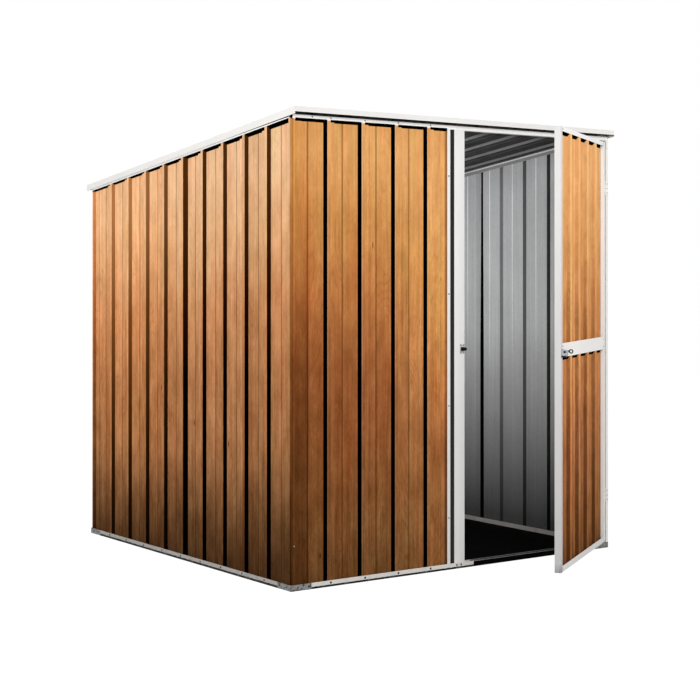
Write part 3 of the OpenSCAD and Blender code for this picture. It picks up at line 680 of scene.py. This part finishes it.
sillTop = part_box("door_sill")[1].z
finishes = {
    "trim_white": paintedTrim("trimPaint", (240, 238, 235), 0.86),
    "zinc": zincSheet("zincPlate", (126, 126, 126), 0.25, None, (38, 37, 36)),
    "sill_dark": darkPaint("sillPaint", (1, 1, 1), sillTop - 0.0028),
    "floor_board": darkPaint("floorBoard", (4, 4, 4)),
    "latch_metal": castMetal("latchSteel", (14, 15, 16), 0.3, 0.1),
}
doorTrim = paintedTrim("doorTrimPaint", (255, 253, 250), 0.86)
fascia = paintedTrim("fasciaPaint", (234, 232, 229), 1.0, 0.0, "eave")
ownFinish = {
    "roof_sheet": zincSheet("roofZinc", (186, 187, 188), 0.3, (46, 46, 46)),
    # the side base rails are painted darker than the front and back ones, as painted shade
    "base_rail_left": paintedTrim("sideFootPaint", (176, 172, 168), 1.0, 0.0095),
    "base_rail_right": paintedTrim("sideFootPaint", (176, 172, 168), 1.0, 0.0095),
    "base_rail": paintedTrim("footPaint", (214, 211, 207), 1.0, 0.0085),
    "latch_post": paintedTrim("postPaint", (237, 236, 235), 0.83, 0.0, "recess"),
    "hinge_post": paintedTrim("hingePostPaint", (232, 230, 226), 0.95),
    "jamb_strip": paintedTrim("jambPaint", (239, 237, 234), 0.78, 0.0, "strip"),
    "fascia": fascia,
    "top_rail": paintedTrim("topRailPaint", (250, 248, 246), 1.0, 0.0, "inner"),
    "door_free_stile": paintedTrim("stilePaint", (222, 221, 220), 0.69, 0.0, "foot"),
    "verge": paintedTrim("vergePaint", (240, 238, 235), 1.0, 0.0, "verge"),
    "door_mid_rail": doorTrim,
    "door_top_rail": doorTrim,
    "door_hinge_stile": doorTrim,
    "latch_housing": castMetal("housingZinc", (172, 175, 180), 0.3, 0.3, 90, None,
                               (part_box("latch_housing")[0].z + 0.0068, (34, 38, 42))),
    "latch_keeper": castMetal("keeperZinc", (6, 6, 6), 0.5, 0.0, 90,
                              ("latch_keeper", (206, 206, 205))),
    "door_panel": doorPrint,
}
for nodeName, piece in cadNodes.items():
    given = piece.material_slots[0].material.name
    made = next((m for key, m in ownFinish.items() if nodeName.startswith(key)), None)
    if made is None and given.startswith("wood_print"):
        made = wallPrint
    elif made is None:
        made = next(m for key, m in finishes.items() if given.startswith(key))
    piece.material_slots[0].material = made
print("materials on the sheets and trims")


# one screw, set on every point of a loose cloud: each point holds which way the screw
# faces, how large it is and whether it has darkened
def screwTree():
    tree = bpy.data.node_groups.new("panHeadScrews", "GeometryNodeTree")
    sockets = tree.interface

    def asks(name, kind, value=None):
        socket = sockets.new_socket(name, in_out="INPUT", socket_type=kind)
        if value is not None:
            socket.default_value = value
            socket.min_value = 0.0
    asks("Geometry", "NodeSocketGeometry")
    asks("Head Radius", "NodeSocketFloat", 0.004)
    asks("Head Height", "NodeSocketFloat", 0.002)
    asks("Washer Radius", "NodeSocketFloat", 0.005)
    asks("Washer Height", "NodeSocketFloat", 0.0006)
    asks("Recess Width", "NodeSocketFloat", 0.001)
    asks("Bright Finish", "NodeSocketMaterial")
    asks("Dark Finish", "NodeSocketMaterial")
    sockets.new_socket("Geometry", in_out="OUTPUT", socket_type="NodeSocketGeometry")
    nodes, links = tree.nodes, tree.links

    def add(kind, inputs=None, **settings):
        node = nodes.new(kind)
        for setting, value in settings.items():
            setattr(node, setting, value)
        for key, value in (inputs or {}).items():
            if isinstance(value, bpy.types.NodeSocket):
                links.new(value, node.inputs[key])
            else:
                node.inputs[key].default_value = value
        return node

    def calc(operation, a, b):
        return add("ShaderNodeMath", {0: a, 1: b}, operation=operation).outputs[0]

    def vector(x, y, z):
        return add("ShaderNodeCombineXYZ", {"X": x, "Y": y, "Z": z}).outputs[0]

    def moved(geometry, by, turn=(0, 0, 0)):
        return add("GeometryNodeTransform", {"Geometry": geometry, "Translation": by,
                                             "Rotation": turn}).outputs[0]

    def attribute(name, kind):
        return add("GeometryNodeInputNamedAttribute", {"Name": name},
                   data_type=kind).outputs["Attribute"]

    given = add("NodeGroupInput").outputs
    head = add("GeometryNodeMeshCone", {
        "Vertices": 20, "Side Segments": 2,
        "Radius Top": calc("MULTIPLY", given["Head Radius"], 0.66),
        "Radius Bottom": given["Head Radius"], "Depth": given["Head Height"]}).outputs["Mesh"]
    head = moved(head, vector(0.0, 0.0, given["Washer Height"]))
    barLength = calc("MULTIPLY", given["Head Radius"], 1.05)
    bar = add("GeometryNodeMeshCube", {"Size": vector(barLength, given["Recess Width"],
                                                      given["Head Height"])}).outputs["Mesh"]
    lift = vector(0.0, 0.0, calc("ADD", given["Washer Height"],
                                 calc("MULTIPLY", given["Head Height"], 1.05)))
    cut = add("GeometryNodeMeshBoolean", operation="DIFFERENCE")
    links.new(head, cut.inputs[0])
    links.new(moved(bar, lift, (0, 0, math.pi / 2)), cut.inputs[1])
    links.new(moved(bar, lift), cut.inputs[1])
    washer = add("GeometryNodeMeshCone", {
        "Vertices": 24, "Radius Top": calc("MULTIPLY", given["Washer Radius"], 0.93),
        "Radius Bottom": given["Washer Radius"], "Depth": given["Washer Height"]}).outputs["Mesh"]
    screw = add("GeometryNodeJoinGeometry")
    links.new(cut.outputs[0], screw.inputs[0])
    links.new(washer, screw.inputs[0])
    facing = add("FunctionNodeAlignRotationToVector", {
        "Vector": attribute("facing", "FLOAT_VECTOR")}, axis="Z").outputs[0]
    spin = add("FunctionNodeRandomValue", {"Min": 0.0, "Max": 6.283, "Seed": 5},
               data_type="FLOAT")
    spinAngle = next(o for o in spin.outputs if o.enabled)
    turned = add("FunctionNodeRotateRotation", {
        "Rotation": facing, "Rotate By": add("FunctionNodeAxisAngleToRotation", {
            "Axis": (0, 0, 1), "Angle": spinAngle}).outputs[0]}, rotation_space="LOCAL")
    size = attribute("size", "FLOAT")
    placed = add("GeometryNodeInstanceOnPoints", {
        "Points": given["Geometry"], "Instance": screw.outputs[0],
        "Rotation": turned.outputs[0], "Scale": vector(size, size, size)}).outputs[0]
    real = add("GeometryNodeRealizeInstances", {"Geometry": placed}).outputs[0]
    bright = add("GeometryNodeSetMaterial", {"Geometry": real,
                                             "Material": given["Bright Finish"]}).outputs[0]
    aged = add("FunctionNodeCompare", {"A": attribute("darkened", "FLOAT"), "B": 0.5},
               data_type="FLOAT", operation="GREATER_THAN").outputs[0]
    dark = add("GeometryNodeSetMaterial", {"Geometry": bright, "Selection": aged,
                                           "Material": given["Dark Finish"]}).outputs[0]
    add("NodeGroupOutput", {"Geometry": dark})
    return tree


screws = {
    "Head Radius": 0.0039, "Head Height": 0.0018, "Washer Radius": 0.0048,
    "Washer Height": 0.0006, "Recess Width": 0.0010,
    "small": 0.62,              # hinge and latch screws, as a share of the size above
    "railHeight": 0.0158,       # middle of the base rails' screws
    "jamb": (1.678, 1.175, 0.698, 0.220),   # heights
    "corner": (1.69, 0.179),                # heights
    "footLegs": (0.033, 0.085),             # from a base corner, along each leg
    "footHeight": 0.013,
    "fromPin": 0.0105,          # hinge screws, to each side of the pin
    "fromDoorEdge": 0.034,
}
screwTreeMade = screwTree()
screwBright = castMetal("screwBright", (150, 149, 146), 0.35, 0.35, 200)
screwDark = castMetal("screwDark", (52, 50, 47), 0.4, 0.3, 200)


def setScrews(name, body, points):          # points hold place, facing, size, darkened
    cloud = bpy.data.meshes.new(name + "Points")
    cloud.from_pydata([point[0] for point in points], [], [])
    for label, kind in (("facing", "FLOAT_VECTOR"), ("size", "FLOAT"), ("darkened", "FLOAT")):
        cloud.attributes.new(label, kind, "POINT")
    for index, point in enumerate(points):
        cloud.attributes["facing"].data[index].vector = point[1]
        cloud.attributes["size"].data[index].value = point[2]
        cloud.attributes["darkened"].data[index].value = point[3]
    source = bpy.data.objects.new(name + "Points", cloud)
    scene.collection.objects.link(source)
    modifier = source.modifiers.new("screws", "NODES")
    modifier.node_group = screwTreeMade
    for item in screwTreeMade.interface.items_tree:
        if item.item_type == "SOCKET" and item.in_out == "INPUT" and item.name in screws:
            modifier[item.identifier] = screws[item.name]
        elif item.name == "Bright Finish":
            modifier[item.identifier] = screwBright
        elif item.name == "Dark Finish":
            modifier[item.identifier] = screwDark
    graph = bpy.context.evaluated_depsgraph_get()
    mesh = bpy.data.meshes.new_from_object(source.evaluated_get(graph),
                                           preserve_all_data_layers=False, depsgraph=graph)
    bpy.data.objects.remove(source)
    piece = bpy.data.objects.new(name, mesh)
    scene.collection.objects.link(piece)
    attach(piece, body)
    print(name, "set:", len(points), "screws,", len(mesh.polygons), "faces")


def alongRibs(low, high):
    pitch = woodTones["ribPitch"]
    return [k * pitch for k in range(math.ceil(low / pitch), math.floor(high / pitch) + 1)]


wallX, wallY = wallHalf["x"], wallHalf["y"]
foot = screws["railHeight"]
shellScrews = []
for rib in alongRibs(-wallY + 0.1, wallY - 0.1):
    shellScrews += [((-wallX, rib, foot), (-1, 0, 0), 0.9, 1),
                    ((wallX, rib, foot), (1, 0, 0), 0.9, 1)]
backTop = (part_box("top_rail_back")[0].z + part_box("top_rail_back")[1].z) / 2
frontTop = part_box("top_rail_front")[1].z - 0.006
for rib in alongRibs(-wallX + 0.1, wallX - 0.1):
    shellScrews += [((rib, wallY, foot), (0, 1, 0), 0.9, 1),
                    ((rib, wallY, backTop), (0, 1, 0), 0.9, 0)]
    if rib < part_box("jamb_strip")[0].x:
        shellScrews += [((rib, -wallY, foot), (0, -1, 0), 1, 1),
                        ((rib, -wallY, frontTop), (0, -1, 0), 0.8, 0)]
shellScrews.append(((-wallX + 0.102, -wallY, frontTop), (0, -1, 0), 0.8, 0))
postLow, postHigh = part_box("latch_post")
postFace = postLow.y
for x in (postLow.x + 0.032, postLow.x + 0.056):
    shellScrews.append(((x, -wallY, foot), (0, -1, 0), 0.9, 1))
for z in screws["jamb"]:
    shellScrews.append(((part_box("jamb_strip")[0].x + 0.010, postFace, z), (0, -1, 0), 0.9, 0))
for z in screws["corner"]:
    shellScrews.append(((-wallX + 0.016, postFace, z), (0, -1, 0), 0.62, 0))
for sideX in (-1, 1):
    for sideY in (-1, 1):
        for step in screws["footLegs"]:
            if (sideX, sideY) != (1, -1):       # the hinge post stands there
                shellScrews.append(((sideX * (wallX - step), sideY * wallY,
                                     screws["footHeight"]), (0, sideY, 0), 0.8, 1))
            shellScrews.append(((sideX * wallX, sideY * (wallY - step),
                                 screws["footHeight"]), (sideX, 0, 0), 0.8, 1))
leafLow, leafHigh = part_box("post_hinges")
leafFace = postFace - 0.0015
small = screws["small"]
hingeHeights = [z + step for z in (leafLow.z + 0.03, leafHigh.z - 0.03)
                for step in (-0.021, 0.0, 0.021)]
for z in hingeHeights:
    shellScrews.append(((hinge["pos_m"][0] + screws["fromPin"], leafFace, z), (0, -1, 0), small, 0))
keeperLow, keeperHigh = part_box("latch_keeper")
for z in (keeperLow.z + 0.006, keeperHigh.z - 0.006):
    for x in (keeperLow.x + 0.005, keeperHigh.x - 0.005):
        shellScrews.append(((x, leafFace, z), (0, -1, 0), small, 1))
for y in (cadBox[1].y - 0.016, roofLine["from"] + 0.0225):      # roof, on the flanges
    z = roofLine["front"] - (y - roofLine["from"]) * roofLine["slope"]
    for rib in alongRibs(-0.8, 0.8):
        shellScrews.append(((rib + woodTones["ribPitch"] / 2, y, z),
                            (0, roofLine["slope"], 1), 0.9, 0))
setScrews("shellScrews", "shell", shellScrews)


def swung(x, y, z):             # a place on the shut door, as the door stands at rest
    turn, (pivotX, pivotY, _) = math.radians(openAngle), hinge["pos_m"]
    dx, dy = x - pivotX, y - pivotY
    return (pivotX + dx * math.cos(turn) - dy * math.sin(turn),
            pivotY + dx * math.sin(turn) + dy * math.cos(turn), z)


doorFacing = (math.sin(math.radians(openAngle)), -math.cos(math.radians(openAngle)), 0)
doorEdges = {"free": postHigh.x + 0.005, "hinge": hinge["pos_m"][0] - 0.0025}
doorLow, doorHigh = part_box("door_free_stile")[0].z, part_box("door_free_stile")[1].z
midLow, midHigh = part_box("door_mid_rail")[0].z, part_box("door_mid_rail")[1].z
doorScrews = []
inset = screws["fromDoorEdge"]
for x in (doorEdges["free"] + inset, doorEdges["hinge"] - inset):
    doorScrews += [(swung(x, postFace, z), doorFacing, 0.8, 0)
                   for z in (doorHigh - 0.009, midHigh - 0.012, doorLow + 0.0125)]
doorScrews.append((swung(doorEdges["hinge"] - inset, postFace, midLow + 0.012),
                   doorFacing, 0.8, 0))
for z in hingeHeights:
    doorScrews.append((swung(hinge["pos_m"][0] - screws["fromPin"], leafFace, z),
                       doorFacing, small, 0))
setScrews("doorScrews", "door", doorScrews)


ground = {"reach": 30.0, "glow": 0.965}
groundMesh = bpy.data.meshes.new("studioFloor")
reach = ground["reach"]
groundMesh.from_pydata([(-reach, -reach, 0), (reach, -reach, 0), (reach, reach, 0),
                        (-reach, reach, 0)], [], [(0, 1, 2, 3)])
studioFloor = bpy.data.objects.new("studioFloor", groundMesh)
scene.collection.objects.link(studioFloor)
floorLook = Look("studioFloor")
floorRays = floorLook.add("ShaderNodeLightPath")
floorSeen = floorLook.calc("MAXIMUM", floorRays.outputs["Is Camera Ray"],
                           floorLook.calc("MAXIMUM", floorRays.outputs["Is Glossy Ray"],
                                          floorRays.outputs["Is Transmission Ray"]))
floorLook.give(floorLook.surface.inputs["Emission Strength"],
               floorLook.times(floorSeen, ground["glow"]))
floorLook.surface.inputs["Emission Color"].default_value = (1, 1, 1, 1)
floorTone = floorLook.tone(floorSeen, (0.6, 0.6, 0.6, 1), (0.12, 0.12, 0.12, 1))
groundMesh.materials.append(floorLook.finish(floorTone, 1.0, specular=0.0))
